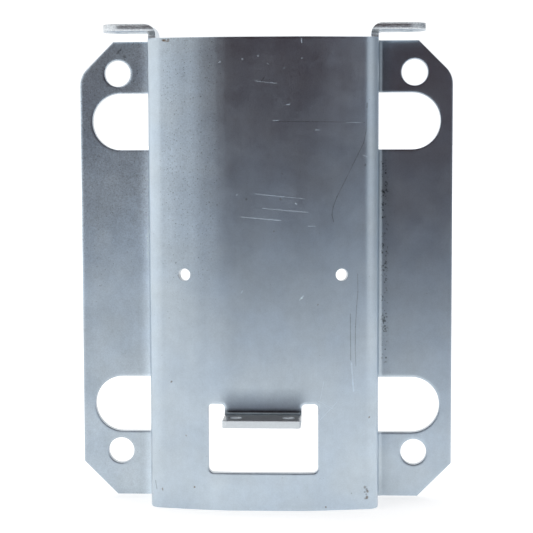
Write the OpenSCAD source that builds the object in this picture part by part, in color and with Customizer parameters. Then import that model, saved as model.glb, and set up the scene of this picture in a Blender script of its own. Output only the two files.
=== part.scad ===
// Hitch plate: one blank of steel sheet, punched flat and folded into a hat section.
// X runs to the right and Z up. The front of the plate faces -Y.
// The backs of the two flanges lie on Y = 0, and the origin is the middle of the four bolt holes.

/* [Sheet] */
// Thickness of the sheet
sheet = 3.2; // [2:0.1:4]
// Width over both flanges
plate_w = 162.5; // [156:0.5:190]
// Height of the folded sheet, without its ears
plate_h = 200; // [190:1:240]
// How far the top edge lies above the middle of the bolt holes
top_z = 97; // [92:0.5:110]

/* [Web] */
// Width over the two side walls
web_w = 97.5; // [88:0.5:102]
// Depth from the backs of the flanges to the front of the web
web_depth = 34; // [32:0.5:44]
// Width of the middle of the web, between the crease lines
middle_w = 42; // [36:0.5:50]
// Angle at which the outer thirds of the web slope back
slope_angle = 11.5; // [4:0.5:14]
// Outer radius of the soft crease between the middle and an outer third
crease_r = 90; // [20:5:100]

/* [Folds] */
// Inner radius of the fold between the web and a side wall
web_fold_r = 1.8; // [0.8:0.1:3]
// Inner radius of the fold between a side wall and its flange
flange_fold_r = 2.5; // [1:0.1:3.5]
// Inner radius of the folds at the ears and at the tab
small_fold_r = 1.5; // [0.5:0.1:2]

/* [Corners] */
// Size of the slanting cut across each outer corner, along both edges
corner_cut = 14.75; // [6:0.25:18]
// Radius where an upper slanting cut meets the side edge
corner_round_r = 10; // [2:0.5:14]

/* [Bolt holes] */
// Distance between the bolt holes, across the plate
bolt_pitch_x = 129.5; // [128:0.5:134]
// Distance between the bolt holes, up the plate
bolt_pitch_z = 166.5; // [165:0.5:172]
// Diameter of the bolt holes
bolt_hole_d = 11.4; // [9:0.1:12]

/* [Slots] */
// Height of the slots through the flanges and walls
slot_h = 24.6; // [16:0.2:26]
// Distance between the upper and the lower slots, middle to middle
slot_pitch_z = 124.5; // [100:0.5:126]
// Distance between the outer ends of a left and a right slot
slot_span = 152; // [140:0.5:154]

/* [Small holes] */
// Diameter of the two holes in the outer thirds of the web
side_hole_d = 5.1; // [3:0.1:8]
// Distance between them, across the front
side_hole_pitch = 66.5; // [60:0.5:76]
// Height of these holes, from the middle of the bolt holes
side_hole_z = -2.5; // [-30:0.5:30]

/* [Window] */
// Width of the window in the web
window_w = 46.5; // [44:0.5:56]
// Height of the top of the window's two notches
window_top_z = -57.25; // [-62:0.25:-50]
// Height of the bottom edge of the window
window_bottom_z = -86.75; // [-94:0.25:-84]
// Radius of the window's bottom corners
window_corner_r = 2.2; // [0.5:0.1:4]
// Radius of the corners at the top of the notches
notch_corner_r = 1.7; // [0.5:0.1:2.2]

/* [Tab] */
// Width of the tab that is folded forward out of the window
tab_w = 32.5; // [26:0.5:34]
// How far the tab stands out from the front of the web
tab_reach = 15.5; // [12:0.5:22]
// How far the tab's upper face lies below the tops of the notches
tab_drop = 4.25; // [3.75:0.25:8]
// Radius of the tab's front corners, seen from above
tab_corner_r = 2; // [0.5:0.1:4]
// Diameter of the two holes in the tab
tab_hole_d = 5; // [3:0.1:6]
// Distance between the holes in the tab
tab_hole_pitch = 22; // [16:0.5:24]
// Distance of these holes from the tab's front edge
tab_hole_inset = 7.5; // [5:0.5:8]

/* [Ears] */
// Width of an ear, from front to back
ear_w = 16; // [12:0.5:17]
// How far the tip of an ear stands out from its side wall
ear_reach = 20; // [15:0.5:30]
// Height of an ear's upper face above the top edge of the sheet
ear_rise = 6.2; // [6:0.1:12]
// Distance from the end of the web fold back to an ear's front edge
ear_setback = 0.2; // [0:0.1:1.5]
// Diameter of the hole in each ear
ear_hole_d = 5; // [3:0.1:8]

/* [Hidden] */
$fn = 96;
SIDES = [0, 1];

// Cutting tools run this far past the faces that they cut
over = 1;
// Slanting corners are rounded this much too wide, so that arc and face cross and don't just touch
skin = 0.0002;
steel = "#9aa5b0";

bottom_z = top_z - plate_h;
wall_x = web_w / 2;
middle_x = middle_w / 2;
slot_r = slot_h / 2;

// The web's outer thirds start at the crease lines and end at the lines where they meet the walls
slope_w = wall_x - middle_x;
edge_depth = web_depth - slope_w * tan(slope_angle);

// The back of the web, one sheet behind its front, and where its faces meet
back_depth = web_depth - sheet;
back_middle_x = middle_x - sheet * tan(slope_angle / 2);
back_edge_depth = back_depth - (wall_x - sheet - back_middle_x) * tan(slope_angle);

// Each fold turns about a centre, which its outer and inner arcs share
crease_x = middle_x - crease_r * tan(slope_angle / 2);
web_fold_angle = 90 - slope_angle;
web_fold_outer_r = web_fold_r + sheet;
web_fold_x = wall_x - web_fold_outer_r;
web_fold_y = web_fold_outer_r * tan(web_fold_angle / 2) - edge_depth;
flange_fold_x = wall_x + flange_fold_r;
flange_fold_y = -(sheet + flange_fold_r);

tab_top_z = window_top_z - tab_drop;
tab_fold_z = tab_top_z + small_fold_r;
tab_flat = tab_reach - small_fold_r;

ear_top_z = top_z + ear_rise;
ear_fold_z = ear_top_z - sheet - small_fold_r;
ear_fold_x = wall_x + small_fold_r;
ear_front_y = web_fold_y + ear_setback;
ear_tip_r = ear_w / 2;
ear_hole_x = wall_x + ear_reach - ear_tip_r;

// What is left over where a corner is rounded: the corner turns through the angle
// about the origin, from -Y round towards +X, and the waste runs on past its point
module corner_waste(angle, r) {
    q = r + over;
    difference() {
        polygon([[0, 0], [0, -q], [q * tan(angle / 2), -q], [q * sin(angle), -q * cos(angle)]]);
        circle(r + skin);
    }
}

// A quarter turn of the sheet, from -Y round to +X
module quarter_fold() {
    outer_r = small_fold_r + sheet;
    difference() {
        intersection() {
            circle(outer_r);
            translate([0, -outer_r]) square(outer_r);
        }
        circle(small_fold_r);
    }
}

module at_creases() {
    for (side = SIDES) mirror([side, 0])
        translate([crease_x, crease_r - web_depth]) children();
}

module at_web_folds() {
    for (side = SIDES) mirror([side, 0])
        translate([web_fold_x, web_fold_y]) rotate(slope_angle) children();
}

module at_flange_folds() {
    for (side = SIDES) mirror([side, 0])
        translate([flange_fold_x, flange_fold_y]) children();
}

// An outline and its mirror image, joined into one polygon
module both_halves(right) {
    left = [for (i = [len(right) - 1:-1:0]) [-right[i][0], right[i][1]]];
    polygon(concat(right, left));
}

// Everything behind the front faces of the section, down to the backs of the flanges
module behind_the_front() {
    difference() {
        both_halves([[plate_w / 2, 0], [plate_w / 2, -sheet], [flange_fold_x, -sheet],
            [flange_fold_x, flange_fold_y], [wall_x, flange_fold_y], [wall_x, -edge_depth],
            [middle_x, -web_depth]]);
        at_flange_folds() circle(flange_fold_r);
        at_web_folds() corner_waste(web_fold_angle, web_fold_outer_r);
        at_creases() corner_waste(slope_angle, crease_r);
    }
}

// The channel behind the web and between the walls, which widens where the flanges are folded out
module channel() {
    difference() {
        both_halves([[flange_fold_x, over], [flange_fold_x, flange_fold_y],
            [wall_x - sheet, flange_fold_y], [wall_x - sheet, -back_edge_depth],
            [back_middle_x, -back_depth]]);
        at_flange_folds() circle(flange_fold_r + sheet);
        at_web_folds() corner_waste(web_fold_angle, web_fold_r);
        at_creases() corner_waste(slope_angle, crease_r - sheet);
    }
}

// The folded section, seen from above
module hat_section() {
    difference() {
        behind_the_front();
        channel();
    }
}

// Turns an outline drawn in X and Z into a cutter that runs from front to back
module cut_from_front(from_y, to_y) {
    translate([0, to_y, 0]) rotate([90, 0, 0]) linear_extrude(to_y - from_y) children();
}

module flange_corners() {
    cut_from_front(-sheet - over, over) for (side = SIDES) mirror([side, 0]) {
        for (z = [top_z, bottom_z]) translate([plate_w / 2, z]) mirror([0, z < 0 ? 1 : 0])
            polygon([[-corner_cut - over, over], [over, over], [over, -corner_cut - over]]);
        translate([plate_w / 2 - corner_round_r, top_z - corner_cut - corner_round_r * tan(22.5)])
            rotate(90) corner_waste(45, corner_round_r);
    }
}

module bolt_holes() {
    for (x = [-1, 1], z = [-1, 1])
        translate([x * bolt_pitch_x / 2, over, z * bolt_pitch_z / 2])
            rotate([90, 0, 0]) cylinder(h = sheet + 2 * over, d = bolt_hole_d);
}

// A slot is punched across the fold line, so it runs through the flange, the fold and the wall
module slot() {
    slot_end_x = slot_span / 2 - slot_r;
    cut_from_front(-sheet - over, over) {
        translate([slot_end_x, 0]) circle(slot_r);
        translate([wall_x, -slot_r]) square([slot_end_x - wall_x, slot_h]);
    }
    translate([wall_x - sheet - over, 0, 0])
        rotate([90, 0, 90]) linear_extrude(sheet + flange_fold_r + 2 * over) {
            translate([flange_fold_y, 0]) circle(slot_r);
            translate([flange_fold_y, -slot_r]) square([over - flange_fold_y, slot_h]);
        }
}

module slots() {
    for (side = SIDES, z = [-1, 1])
        mirror([side, 0, 0]) translate([0, 0, z * slot_pitch_z / 2]) slot();
}

// The holes in the outer thirds stand square to the sloping sheet
module side_holes() {
    hole_depth = web_depth - (side_hole_pitch / 2 - middle_x) * tan(slope_angle);
    for (side = SIDES) mirror([side, 0, 0])
        translate([side_hole_pitch / 2, -hole_depth, side_hole_z])
            rotate([0, 0, slope_angle]) rotate([-90, 0, 0])
                translate([0, 0, -over]) cylinder(h = sheet + 2 * over, d = side_hole_d);
}

// A notch beside the tab, with its rounded top at Z = 0 and its bottom at the start of the tab's fold
module notch_outline() {
    notch_w = (window_w - tab_w) / 2;
    notch_h = window_top_z - tab_fold_z;
    translate([0, -notch_h]) square([notch_w, notch_h - notch_corner_r]);
    translate([notch_corner_r, -notch_h]) square([notch_w - 2 * notch_corner_r, notch_h]);
    for (x = [notch_corner_r, notch_w - notch_corner_r])
        translate([x, -notch_corner_r]) circle(notch_corner_r);
}

// The window is cut out round three sides of the tab, with a notch at each end of the tab's fold
module window() {
    r = window_corner_r;
    cut_from_front(-web_depth - over, sheet + over - edge_depth) {
        for (side = SIDES) mirror([side, 0])
            translate([tab_w / 2, window_top_z]) notch_outline();
        translate([-window_w / 2, window_bottom_z + r])
            square([window_w, tab_fold_z - window_bottom_z - r]);
        translate([r - window_w / 2, window_bottom_z]) square([window_w - 2 * r, 2 * r]);
        for (x = [-1, 1])
            translate([x * (window_w / 2 - r), window_bottom_z + r]) circle(r);
    }
}

// The stretch of the section that the tab is folded from, with the fold's axis moved to Y = 0
module tab_strip(width) {
    translate([0, web_depth + small_fold_r]) intersection() {
        hat_section();
        translate([-width / 2, -web_depth - over]) square([width, sheet + 2 * over]);
    }
}

// The outline of the tab's level stretch, seen from above, with its front edge at Y = 0
module tab_outline() {
    r = tab_corner_r;
    difference() {
        union() {
            translate([-tab_w / 2, r]) square([tab_w, tab_flat - r]);
            translate([r - tab_w / 2, 0]) square([tab_w - 2 * r, 2 * r]);
            for (x = [-1, 1]) translate([x * (tab_w / 2 - r), r]) circle(r);
        }
        for (x = [-1, 1])
            translate([x * tab_hole_pitch / 2, tab_hole_inset]) circle(d = tab_hole_d);
    }
}

// The tab hangs from the web by its fold and stands out level
module tab() {
    translate([0, -(web_depth + small_fold_r), tab_fold_z]) {
        rotate([-90, 0, 90]) rotate_extrude(angle = 90) rotate(-90) tab_strip(tab_w);
        intersection() {
            rotate([90, 0, 0]) linear_extrude(tab_flat + over)
                mirror([0, 1]) tab_strip(tab_w + 2 * over);
            translate([0, -tab_flat, -small_fold_r - sheet - over])
                linear_extrude(sheet + 2 * over) tab_outline();
        }
    }
}

// An ear carries the wall on upwards, then turns outwards to a round end with a hole
module ear() {
    translate([0, ear_front_y, 0]) {
        translate([wall_x - sheet, 0, top_z]) cube([sheet, ear_w, ear_fold_z - top_z]);
        translate([ear_fold_x, ear_w, ear_fold_z])
            rotate([90, 0, 0]) linear_extrude(ear_w) rotate(180) quarter_fold();
        translate([0, 0, ear_top_z - sheet]) difference() {
            linear_extrude(sheet) {
                translate([ear_fold_x, 0]) square([ear_hole_x - ear_fold_x, ear_w]);
                translate([ear_hole_x, ear_tip_r]) circle(ear_tip_r);
            }
            translate([ear_hole_x, ear_tip_r, -over]) cylinder(h = sheet + 2 * over, d = ear_hole_d);
        }
    }
}

module folded_sheet() {
    difference() {
        translate([0, 0, bottom_z]) linear_extrude(plate_h) hat_section();
        flange_corners();
        bolt_holes();
        slots();
        side_holes();
        window();
    }
}

module hitch_plate() {
    color(steel) union() {
        folded_sheet();
        tab();
        for (side = SIDES) mirror([side, 0, 0]) ear();
    }
}

hitch_plate();
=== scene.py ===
import math

import bmesh
import bpy
from mathutils import Matrix, Vector


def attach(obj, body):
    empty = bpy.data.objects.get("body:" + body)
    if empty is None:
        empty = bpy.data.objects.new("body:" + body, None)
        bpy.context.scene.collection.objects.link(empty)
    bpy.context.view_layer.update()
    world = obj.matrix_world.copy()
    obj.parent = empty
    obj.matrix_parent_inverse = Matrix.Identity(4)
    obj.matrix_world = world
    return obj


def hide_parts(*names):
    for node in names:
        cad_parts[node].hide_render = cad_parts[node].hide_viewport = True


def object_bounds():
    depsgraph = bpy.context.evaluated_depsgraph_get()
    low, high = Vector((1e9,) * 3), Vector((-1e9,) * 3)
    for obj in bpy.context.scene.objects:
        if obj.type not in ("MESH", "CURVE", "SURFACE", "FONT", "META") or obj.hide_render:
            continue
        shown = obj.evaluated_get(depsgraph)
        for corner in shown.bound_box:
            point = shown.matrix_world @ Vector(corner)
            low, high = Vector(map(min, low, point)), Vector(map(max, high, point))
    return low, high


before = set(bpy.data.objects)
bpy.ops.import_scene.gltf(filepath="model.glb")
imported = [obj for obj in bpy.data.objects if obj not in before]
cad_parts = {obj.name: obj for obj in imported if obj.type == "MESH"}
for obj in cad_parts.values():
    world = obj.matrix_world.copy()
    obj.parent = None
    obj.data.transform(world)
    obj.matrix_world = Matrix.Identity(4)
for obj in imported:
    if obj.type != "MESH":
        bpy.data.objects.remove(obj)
cad_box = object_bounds()

# The folded sheet. The real piece is one blank of 3.2 mm steel, punched from the front and then
# folded. The press left a shallow hollow along both creases of the web, and the punch drew each
# cut edge of the front back into a soft roll, while the edges of the back stay crisp.

SHEET = 0.0032
TAB_REACH = 0.0155                       # the tab stands out this far from the web
WEB_FRONT = cad_box[0][1] + TAB_REACH
CREASE_R, SLOPE, MIDDLE = 0.090, math.radians(11.5), 0.042
CREASE_START = MIDDLE / 2 - CREASE_R * math.tan(SLOPE / 2)
WEB_END = 0.0437                         # here the folds to the side walls begin
STRIP = 0.0016                           # the web is divided this finely for its soft bends
CHORD_GAP = 0.00006                      # the model's flat stretches lie this close to its curves
HOLLOW_X, HOLLOW_DEPTH = 0.025, 0.00024
HOLLOW_IN, HOLLOW_OUT = 0.0125, 0.015    # it fades out over these widths
FLAT, SHARP = math.radians(0.3), math.radians(40)    # a lesser bend is none, a greater one is an edge
ROLL = ((0.00020, 0.00019), (0.00040, 0.00008), (0.00070, 0.00003))  # step in from the cut, depth there
SIDE_HOLE = (0.0329, -0.0025)
SMALL_HOLE_REACH, SMALL_HOLE_SHARE = 0.0045, 0.25    # the two small holes roll in less
CRISP_WIDTH = 0.00012


def web_y(x, depth):
    """Where the web lies at x, this deep in the sheet: a flat middle, a soft crease and a slope."""
    out, r = abs(x) - CREASE_START, CREASE_R - depth
    turn = math.asin(min(max(out / r, 0), math.sin(SLOPE)))
    slope = max(out - r * math.sin(SLOPE), 0) * math.tan(SLOPE)
    return WEB_FRONT + CREASE_R - r * math.cos(turn) + slope


def hollow(x):
    """How deep the hollow along the nearer crease is at x."""
    away = abs(x) - HOLLOW_X
    away /= HOLLOW_OUT if away > 0 else HOLLOW_IN
    return HOLLOW_DEPTH * (1 + math.cos(math.pi * min(abs(away), 1))) / 2


def one_side(form, direction):
    """All faces that run on smoothly from the largest face that looks in this direction."""
    start = max((f for f in form.faces if f.normal.dot(direction) > 0.99), key=lambda f: f.calc_area())
    side, edge_of_side = {start}, [start]
    while edge_of_side:
        for edge in edge_of_side.pop().edges:
            if edge.calc_face_angle() < SHARP:
                fresh = set(edge.link_faces) - side
                side |= fresh
                edge_of_side += fresh
    return side


form = bmesh.new()
form.from_mesh(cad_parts["hitch_plate"].data)
bmesh.ops.remove_doubles(form, verts=form.verts, dist=2e-6)
bmesh.ops.dissolve_limit(form, angle_limit=FLAT, use_dissolve_boundaries=False,
                         verts=form.verts, edges=form.edges)

punched = one_side(form, Vector((0, -1, 0)))
back = one_side(form, Vector((0, 1, 0)))
for face in form.faces:
    face.material_index = 0 if face in punched or face in back else 1
for step, depth in ROLL:
    lip = [e for f in punched for e in f.edges if len(punched.intersection(e.link_faces)) == 1]
    pull = {}
    for v in {end for e in lip for end in e.verts}:
        outwards = sum((f.normal for f in v.link_faces if f in punched), Vector())
        pull[v.co.copy().freeze()] = outwards.normalized()
    bmesh.ops.inset_region(form, faces=list(punched), thickness=step, depth=0,
                           use_boundary=True, use_even_offset=True)
    for v in form.verts:
        from_hole = Vector((abs(v.co.x) - SIDE_HOLE[0], v.co.z - SIDE_HOLE[1])).length
        share = SMALL_HOLE_SHARE if from_hole < SMALL_HOLE_REACH else 1
        v.co -= pull.get(v.co.copy().freeze(), Vector()) * depth * share

crisp = [e for e in form.edges if e.calc_face_angle() > SHARP]
bmesh.ops.bevel(form, geom=crisp, offset=CRISP_WIDTH, offset_type="OFFSET", affect="EDGES",
                segments=2, profile=0.5, material=-1, clamp_overlap=False)
strips = [CREASE_START + n * STRIP for n in range(int((WEB_END - CREASE_START) / STRIP) + 1)]
for cut in strips:
    for side in (-1, 1):
        bmesh.ops.bisect_plane(form, geom=form.verts[:] + form.edges[:] + form.faces[:], dist=1e-6,
                               plane_co=(side * cut, 0, 0), plane_no=(1, 0, 0))

# The model's own, coarser strips in the bends give way to these, and each vertex goes to its curve.
coarse = [e for e in form.edges if abs(e.verts[0].co.x - e.verts[1].co.x) < 1e-6
          and CREASE_START + 1e-5 < abs(e.verts[0].co.x) < WEB_END
          and min(abs(abs(e.verts[0].co.x) - cut) for cut in strips) > 1e-5
          and min(abs(f.normal.y) for f in e.link_faces) > 0.96]
bmesh.ops.dissolve_edges(form, edges=coarse, use_verts=False)
for v in form.verts:
    faces_y = [web_y(v.co.x, depth) for depth in (0, SHEET)]
    if abs(v.co.x) < WEB_END and faces_y[0] - CHORD_GAP < v.co.y < faces_y[1] + CHORD_GAP:
        v.co.y = next((true for true in faces_y if abs(v.co.y - true) < CHORD_GAP), v.co.y) + hollow(v.co.x)
for face in form.faces:
    face.smooth = True

sheet_mesh = bpy.data.meshes.new("folded_sheet")
form.to_mesh(sheet_mesh)
form.free()
sheet = bpy.data.objects.new("folded_sheet", sheet_mesh)
bpy.context.scene.collection.objects.link(sheet)
even_faces = sheet.modifiers.new("even_faces", "WEIGHTED_NORMAL")
even_faces.mode = "FACE_AREA"
even_faces.weight = 50

# The finish. The plate is bright zinc with a bluish passivation, a little cloudy and finely pitted.
# It is duller in the inner corners, where less zinc was laid down, and there its colour holds painted
# shade in the right corner and painted light in the left one. Painted shade and highlights also lie
# on the tab, the slopes of the web and the left flange. Handling has left scratches, rubs and small
# stains, which are listed as they lie on the front, in millimetres.

# The brown is that of the stains, and also of the painted shade on the tab's top.
BLUISH_ZINC, BLUER_ZINC, BROWN_DIRT_AND_SHADE = (0.545, 0.62, 0.68, 1), (0.52, 0.61, 0.70, 1), (0.22, 0.16, 0.11, 1)
SMOOTHEST = 0.285                        # no spot of the zinc is glossier
CORNER = (48.75, -3.2)                   # the inner corner of flange and wall, seen from above
RIGHT_FOLD = 51.9                        # here the right flange begins
LIGHT_SCRATCHES = (                      # from x, z, to x, z, and width
    (-3, 31.7, 8.7, 30.4, 0.22), (-0.1, 25.6, 19.2, 23.9, 0.18), (-8.9, 22, 7.7, 20.5, 0.2),
    (8.7, 30.5, 17.9, 29.5, 0.13), (4.6, 62.2, 6.7, 62.2, 0.3), (10.3, 68.8, 11.5, 68.8, 0.28),
    (22.4, 58.2, 23.7, 58.2, 0.3), (19.2, 18.1, 22.2, 18, 0.26), (42, 47.7, 43.9, 46.9, 0.26),
    (37.3, -40, 38.2, -51.9, 0.5), (15.5, -12.9, 17.1, -11.2, 0.4), (23, -55.7, 29.7, -59.5, 0.16),
    (24.1, -63.9, 31.2, -56.5, 0.14), (25.7, -47.3, 24.2, -55, 0.13), (-2.7, 78.6, 6, 77.6, 0.18),
    (16.4, 96.1, 16.6, 94.4, 0.35), (35.3, 61.3, 41.9, 61.3, 0.14), (-8.3, 87.8, -7.9, 87.6, 0.3),
    (-1.7, 88.9, -1.3, 88.9, 0.3), (2.4, 85.7, 2.8, 85.5, 0.3), (9, 83.9, 9.4, 83.9, 0.26),
    (16.5, 87.9, 17, 87.9, 0.26), (-17.9, 86.4, -17.3, 86.6, 0.3), (13.9, 27.7, 14.3, 27.3, 0.34),
    (-10.9, 31.2, -10.5, 31.2, 0.3), (16.2, -12.1, 16.6, -12.1, 0.4), (-8.9, -9.9, -8.5, -9.1, 0.4),
)
DARK_SCRATCHES = (
    (43.8, 69.4, 43.6, 60.2, 0.18), (43.6, 60.2, 43.2, 56.9, 0.2), (43.2, 56.9, 42.3, 52.7, 0.22),
    (42.3, 52.7, 40, 48.1, 0.24), (40, 48.1, 37.8, 43.6, 0.26), (37.8, 43.6, 34.5, 36.9, 0.28),
    (34.5, 36.9, 31.2, 30.3, 0.28), (31.2, 30.3, 29.6, 26.1, 0.28), (29.6, 26.1, 29.1, 22.8, 0.26),
    (29.1, 22.8, 29.8, 19.8, 0.24), (5.4, 61.8, 26.1, 61.6, 0.26), (26.1, 61.6, 42.8, 61.3, 0.2),
    (-0.2, 78.6, 0.9, 80, 0.36), (39.9, -2.2, 40, -9.8, 0.22), (40, -9.8, 39.5, -15.7, 0.22),
    (39.5, -15.7, 39, -24.6, 0.26), (39, -24.6, 38.9, -34.6, 0.26), (38.9, -34.6, 39.2, -41.3, 0.24),
    (36.8, -19.1, 37, -38.7, 0.28), (43.8, 69.3, 43.7, 67.6, 0.5), (43.1, 43.8, 43, 43.3, 0.5),
    (-46.6, -91.4, -46, -94.9, 0.3), (-64.9, 92, -63.1, 93.9, 0.6), (8.2, 40.2, 8.6, 39.9, 0.34),
)
STAINS = (                               # x, z, radius and share of brown
    (-61.6, 90.8, 0.8, 0.1), (-41.7, 95.8, 0.7, 0.9), (-40.6, 95.8, 0.9, 0.9), (-39.4, 95.7, 0.8, 0.7),
    (-43.4, -94.9, 0.9, 1), (-29.4, -93.3, 0.5, 1), (-39.1, -48.3, 0.5, 0.8), (45, -63.3, 0.6, 1),
    (-32.9, -71.1, 0.6, 1), (26.5, -101.6, 0.6, 1), (23.4, -14.9, 0.55, 0.6), (4.8, 16, 0.5, 0.2),
    (7.6, 29.4, 0.6, 0.3), (-6.7, 29.4, 0.5, 0.1), (37.4, -95.8, 0.4, 0.2), (43.1, -93.5, 0.7, 0.4),
    (43.8, -94.3, 0.5, 0.3), (44.2, -95.4, 0.6, 0.7), (43.6, -96.5, 0.5, 0.2), (43.9, -97.9, 0.75, 0.8),
    (43.1, -98.2, 0.6, 0.3), (43, -95.5, 0.45, 0.1),
)


class Field:
    """A value, colour or direction that varies over the plate, to be used in sums."""

    tree = None      # the node tree of the material that is being made
    place = None     # the place on the plate there, in millimetres

    def __init__(self, socket):
        self.socket = socket

    @classmethod
    def node(cls, kind, output=0, settings=(), **inputs):
        """One node. An input is a socket's name, with _ for each space, or _ and its number."""
        made = cls.tree.nodes.new("ShaderNode" + kind)
        for name, value in dict(settings).items():
            setattr(made, name, value)
        for name, value in inputs.items():
            socket = made.inputs[int(name[1:]) if name[0] == "_" else name.replace("_", " ")]
            if isinstance(value, Field):
                cls.tree.links.new(value.socket, socket)
            else:
                socket.default_value = value
        return cls(made.outputs[output])

    @classmethod
    def scaled(cls, vector, share):
        return cls.node("VectorMath", settings={"operation": "SCALE"}, _0=vector, Scale=share)

    @classmethod
    def mixed(cls, share, colour, other_colour):
        return cls.node("Mix", 2, {"data_type": "RGBA"}, _0=share, _6=colour, _7=other_colour)

    def maths(self, operation, *others):
        inputs = {f"_{i}": value for i, value in enumerate((self, *others))}
        return Field.node("Math", settings={"operation": operation}, **inputs)

    def held(self):
        """Kept from 0 to 1. A Math node's own clamp is a late node, and many would fill Cycles' stack."""
        return self.maths("MAXIMUM", 0).maths("MINIMUM", 1)

    def vector(self, operation, *others, output=0, **inputs):
        inputs |= {f"_{i}": value for i, value in enumerate((self, *others))}
        return Field.node("VectorMath", output, {"operation": operation}, **inputs)

    def between(self, low, high):
        """0 up to low, 1 from high on, and a soft climb between them; high may be the lower one."""
        if low > high:
            return 1 - self.between(high, low)
        soft = {"interpolation_type": "SMOOTHSTEP", "clamp": False}
        return Field.node("MapRange", settings=soft, Value=self, From_Min=low, From_Max=high)

    def __add__(self, other):
        return self.maths("ADD", other)

    def __mul__(self, other):
        return self.maths("MULTIPLY", other)

    def __sub__(self, other):
        return self.maths("SUBTRACT", other)

    def __rsub__(self, other):
        return (self * -1).maths("ADD", other)

    __radd__ = __add__
    __rmul__ = __mul__


def plated(name):
    """A new metal finish, to which the fields that follow belong."""
    finish = bpy.data.materials.new(name)
    finish.use_nodes = True
    finish.node_tree.nodes["Principled BSDF"].inputs["Metallic"].default_value = 1.0
    Field.tree = finish.node_tree
    Field.place = Field.node("TexCoord", output="Object").vector("SCALE", Scale=1000)
    return finish


def lay_on(finish, **fields):
    """Links each field to the socket of the finish's shader that has its name."""
    shader = finish.node_tree.nodes["Principled BSDF"]
    for name, field in fields.items():
        finish.node_tree.links.new(field.socket, shader.inputs[name.replace("_", " ")])


def turned_up(share):
    """The way that the surface faces, turned upwards by this share."""
    own = Field.node("TexCoord", output="Normal")
    return own.vector("ADD", Field.node("CombineXYZ", Z=share)).vector("NORMALIZE")


def cloud(size, detail=3, stretch=None):
    """Soft patches of about this size in millimetres, from about -1 to 1."""
    spread = Field.place if stretch is None else Field.place.vector("MULTIPLY", stretch)
    return (Field.node("TexNoise", Vector=spread, Scale=1 / size, Detail=detail, Roughness=0.55) - 0.5) * 3


def scratch(x0, z0, x1, z1, width):
    """A thin line on the front from one point to another, pointed at both ends."""
    along = Vector((x1 - x0, 0, z1 - z0))
    start = across.vector("SUBTRACT", (x0, 0, z0))
    part = start.vector("DOT_PRODUCT", tuple(along / along.length_squared), output=1).held()
    return start.vector("DISTANCE", Field.scaled(tuple(along), part), output=1).between(width, 0.2 * width)


def stain(x0, z0, radius):
    """A small ragged spot on the front."""
    away = across.vector("DISTANCE", (x0, 0, z0), output=1)
    return (away + cloud(1.6, 4) * radius).between(radius, 0.3 * radius)


def pitting(spacing, chance, radius, edge):
    """Dark pin-pricks, this far apart in millimetres, in some of the cells only."""
    cells = {"Vector": Field.place, "Scale": 1 / spacing}
    luck = Field.node("SeparateXYZ", output=0, Vector=Field.node("TexVoronoi", output="Color", **cells))
    size = ((luck + chance - 1) * 5).held() * radius
    return ((size - Field.node("TexVoronoi", **cells)) * edge).held()


zinc = plated("bright_zinc_plate")
x, y, z = (Field.node("SeparateXYZ", output=axis, Vector=Field.place) for axis in range(3))
facing = Field.node("SeparateXYZ", output=1, Vector=Field.node("TexCoord", output="Normal"))
on_front = facing.between(-0.2, -0.6)
across = Field.node("CombineXYZ", X=x, Z=z)
side_x = x.maths("ABSOLUTE")

light = sum(scratch(*line) for line in LIGHT_SCRATCHES) * on_front * (0.75 + cloud(2.5) * 0.5)
dark = sum(scratch(*line) for line in DARK_SCRATCHES) * on_front * (0.8 + cloud(3) * 0.5)
smudges = sum(stain(*spot[:3]) * (1 - spot[3]) for spot in STAINS) * on_front
brown = sum(stain(*spot[:3]) * spot[3] for spot in STAINS) * on_front

# Where on the plate each part of the finish lies, in millimetres.
corner = Field.node("CombineXYZ", X=side_x - CORNER[0], Y=y - CORNER[1]).vector("LENGTH", output=1)
# Painted shade darkens the right inner corner, more so higher up, and painted light brightens the left one.
# The rougher zinc there is the thinner plating of the corners.
corner_shade_and_dulling = corner.between(7.5, 1.5) * on_front.maths("MAXIMUM", corner.between(4, 3))
corner_shade_and_dulling = corner_shade_and_dulling * (x.between(-30, 30) * (1.30 + z.between(-20, 50) * 0.70) - 1.1)
# The tab's top is mixed towards brown and made less metallic: painted shade where it reflects the dark web
# behind it.
tab_top = z.between(-60.8, -61.4) * z.between(-64, -62.5) * y.between(-34.8, -35.8)
# Painted shade darkens the fold at the root of the tab.
tab_fold_shade = z.between(-58.5, -60.4) * z.between(-62.5, -61.6) * side_x.between(18.5, 17.5) * (1 - tab_top)
left_flange = x.between(-49, -52)
# Painted shade on the lower left slope of the web, and a painted highlight on the top of the right slope.
left_slope_shade = x.between(-20, -28) * z.between(60, 10)
right_slope_top_sheen = x.between(22, 32) * x.between(47, 44) * z.between(45, 70)
peppered = (x.between(-14, -22) * x.between(-46, -40)).maths("MAXIMUM", x.between(-50, -53) * 0.8)
peppered = peppered * z.between(-40, 45)
grainy = peppered + left_flange * (0.4 + z.between(-10, 40))
by_fold = (x - RIGHT_FOLD).maths("ABSOLUTE").between(2.2, 0.6) * z.between(-60, -30)
by_fold = by_fold * z.between(60, 35) * on_front

small_pits = pitting(0.9, 0.04 + cloud(16) * 0.08 + peppered * 0.60, 0.34, 4) * (0.7 + cloud(2) * 0.6)
large_pits = pitting(1.6, 0.10 + by_fold * 0.5 + peppered * 0.07, 0.33, 6)
specks = (cloud(0.9, 3) + cloud(5) * 0.6).between(0.15, 0.55) * by_fold
pits = small_pits.maths("MAXIMUM", large_pits).maths("MAXIMUM", specks)

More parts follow.
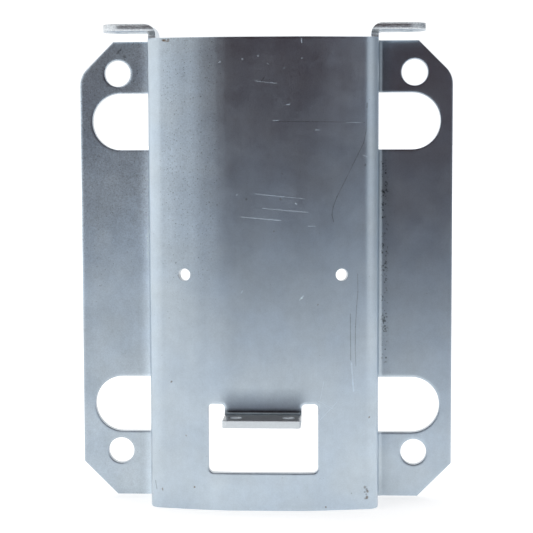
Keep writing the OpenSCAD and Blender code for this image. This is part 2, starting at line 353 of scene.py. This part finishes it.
patches = cloud(14, 4) * 0.065 + cloud(3.5) * 0.035
grain = cloud(0.6, 2) * (0.06 + grainy * 0.11) + cloud(1.4, 2) * grainy * 0.05
rolling_lines = cloud(1.1, 2, (1, 1, 0.03)) * 0.012
# The left flange is a little darker overall, with a painted highlight in a band around mid height and
# random patches over it.
flange_patches_and_sheen = left_flange * (z.between(-50, 0) * z.between(60, 20) * 0.17 - 0.045 + cloud(18, 2) * 0.09)
# The tone holds painted shade and light at the corners, the tab's fold, the slopes and the left flange,
# besides the zinc's own patches, grain, pits, scratches and stains.
tone = (1 + patches + grain + rolling_lines + flange_patches_and_sheen + right_slope_top_sheen * 0.15 - left_slope_shade * 0.07
        - corner_shade_and_dulling * 0.42 - tab_fold_shade * 0.68 - pits * 0.60 - dark * 0.40 - smudges * 0.35 + light * 0.34)
hue = Field.mixed(cloud(22, 2).between(-0.8, 0.8), BLUISH_ZINC, BLUER_ZINC)
hue = Field.mixed(brown * 0.8 + tab_top * 0.45, hue, BROWN_DIRT_AND_SHADE)
roughness = (0.30 + cloud(10, 4) * 0.03 + cloud(1.8) * 0.02 + corner_shade_and_dulling.maths("ABSOLUTE") * 0.05
             + pits * 0.04 + light * 0.25 + brown * 0.25)

out_on_flange = (x + 51.6).maths("MINIMUM", 0)            # the left flange tilts a little
above_tab = (-50 - z).maths("MAXIMUM", 0)                 # the web is drawn out above the tab
fold_start = side_x.between(42, 47)                       # the folds to the walls begin softly
height = (cloud(26, 1) * 0.020 + cloud(3.2) * 0.0028 + cloud(0.8, 2) * 0.0008
          + out_on_flange * 0.083 + out_on_flange * out_on_flange * 0.0010 - fold_start * fold_start * 0.45
          + above_tab * above_tab * 0.006 * side_x.between(21, 14) * z.between(-64, -61))
right_flange = x.between(49.8, 51.6) * on_front
leaning = turned_up(right_flange * 0.030)                 # it leans back a little at the top
relief = Field.node("Bump", Height=height, Strength=1.0, Distance=0.001, Normal=leaning)

lay_on(zinc, Base_Color=Field.scaled(hue, tone), Metallic=1 - tab_top * 0.40,
       Roughness=roughness.maths("MAXIMUM", SMOOTHEST), Normal=relief)

# The sheared edges. The punch burnished the first part of each cut and tore the rest, so under the
# zinc they are mottled, a little darker and rougher than the faces, and streaked across the sheet.
# Wear has rounded those of the ears and of the tab's end.

SHEARED_ZINC = (0.66, 0.70, 0.73)
EAR_MIDDLE = 101.6                       # the middle of the ears' thickness, in millimetres

sheared = plated("sheared_zinc_edge")
lift = Field.node("SeparateXYZ", output=2, Vector=Field.place) - EAR_MIDDLE
ears = lift.between(-3.6, -1.6)
tab_end = Field.node("SeparateXYZ", output=1, Vector=Field.place).between(-48.6, -49.2)
torn = (cloud(0.8, 4) + cloud(0.5, 2, (0.4, 0.15, 1))) * (0.3 + ears * 0.7 - tab_end * 0.15)
rounded = turned_up(lift * lift.maths("ABSOLUTE") * ears * 0.45 - tab_end * 0.24)
edge_relief = Field.node("Bump", Height=torn * 0.012, Strength=1.0, Distance=0.001, Normal=rounded)

lay_on(sheared, Base_Color=Field.scaled(SHEARED_ZINC, 1 + torn * 0.28),
       Roughness=0.52 - ears * 0.12 + torn * 0.08, Normal=edge_relief)

sheet_mesh.materials.append(zinc)
sheet_mesh.materials.append(sheared)

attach(sheet, "root")
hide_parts("hitch_plate")

# The studio. A white tent stands round the plate and a lit table reaches out to the camera. The
# tent is open on the side of the camera, so the steel shows its white left wall on the slanting
# faces, the table low down and the dark room high up. Grey screens stand on the right.

TABLE_Z = cad_box[0][2] - 0.0005
TABLE_SIDE, TABLE_FRONT, TABLE_END = 30, -0.64, 60
OPENING_Y, OPENING_LEFT, OPENING_RIGHT = -0.77, -0.35, 0.49
OPENING_SILL, OPENING_TOP = 0.06, 1.5
HEM_LEFT, HEM_RIGHT, HEM_BACK, HEM_DROP = 0.05, 0.07, 0.001, 0.3     # past the opening and the table
SCREEN_NEAR, SCREEN_FAR, SCREEN_TOP, SCREEN_GAP = (0.8, -0.2), (0.8, 1.2), 0.9, 0.06
ROOM, HEM = (0.026, 0.001, 0.004), (0.20, 0.28, 0.38)
SCREEN, PALE_SCREEN = (0.35, 0.37, 0.40), (0.60, 0.61, 0.63)
TABLE, TABLE_LIGHT, BLACK = (0.6, 0.6, 0.6), (0.66, 0.66, 0.66), (0, 0, 0)

bpy.context.scene.world = bpy.data.worlds.new("tent")
bpy.context.scene.world.use_nodes = True
tent_light = bpy.context.scene.world.node_tree.nodes["Background"].inputs
tent_light["Color"].default_value = (1, 1, 1, 1)
tent_light["Strength"].default_value = 1.08


def cloth(name, corners, colour, glow, seen=True):
    """A plain four-cornered sheet of the studio, which may give light of its own."""
    mesh = bpy.data.meshes.new(name)
    build = bmesh.new()
    build.faces.new([build.verts.new(c) for c in corners])
    build.to_mesh(mesh)
    build.free()
    hung = bpy.data.objects.new(name, mesh)
    hung.visible_camera = seen
    bpy.context.scene.collection.objects.link(hung)
    dye = bpy.data.materials.new(name)
    dye.use_nodes = True
    surface = dye.node_tree.nodes["Principled BSDF"].inputs
    surface["Base Color"].default_value = (*colour, 1)
    surface["Roughness"].default_value = 1.0
    surface["Specular IOR Level"].default_value = 0
    surface["Emission Color"].default_value = (*glow, 1)
    surface["Emission Strength"].default_value = 1.0
    mesh.materials.append(dye)


def curtain(name, start, end, low, high, glow):
    """An upright cloth from one point of the plan to another, which shows only in the steel."""
    cloth(name, [(*start, low), (*start, high), (*end, high), (*end, low)], BLACK, glow, seen=False)


cloth("table", [(-TABLE_SIDE, TABLE_FRONT, TABLE_Z), (TABLE_SIDE, TABLE_FRONT, TABLE_Z),
                (TABLE_SIDE, TABLE_END, TABLE_Z), (-TABLE_SIDE, TABLE_END, TABLE_Z)], TABLE, TABLE_LIGHT)
curtain("blue_hem", (OPENING_LEFT - HEM_LEFT, OPENING_Y - HEM_BACK),
        (OPENING_RIGHT + HEM_RIGHT, OPENING_Y - HEM_BACK), TABLE_Z - HEM_DROP, OPENING_TOP, HEM)
curtain("dark_opening", (OPENING_LEFT, OPENING_Y), (OPENING_RIGHT, OPENING_Y),
        TABLE_Z + OPENING_SILL, OPENING_TOP, ROOM)
curtain("grey_screen", SCREEN_FAR, SCREEN_NEAR, TABLE_Z, SCREEN_TOP, SCREEN)
curtain("pale_screen", SCREEN_NEAR, (OPENING_RIGHT + SCREEN_GAP, OPENING_Y),
        TABLE_Z, SCREEN_TOP, PALE_SCREEN)

# The camera stands a little to the right of the plate and above its middle, as in the photograph.
# Its lens, place and turns come from a fit to the plate's edges and holes.

view = bpy.data.cameras.new("camera")
view.sensor_width = 36
view.lens = 106.012
view.clip_start = 0.01
camera = bpy.data.objects.new("camera", view)
camera.matrix_world = (
    Matrix.Translation((0.0337925, -0.689588, 0.053440))
    @ Matrix.Rotation(0.04896, 4, "Z")
    @ Matrix.Rotation(-0.0794, 4, "X")
    @ Matrix.Rotation(0.00341, 4, "Y")
    @ Matrix.Rotation(math.radians(90), 4, "X")
)
bpy.context.scene.collection.objects.link(camera)
bpy.context.scene.camera = camera
bpy.context.scene.view_settings.view_transform = "Standard"
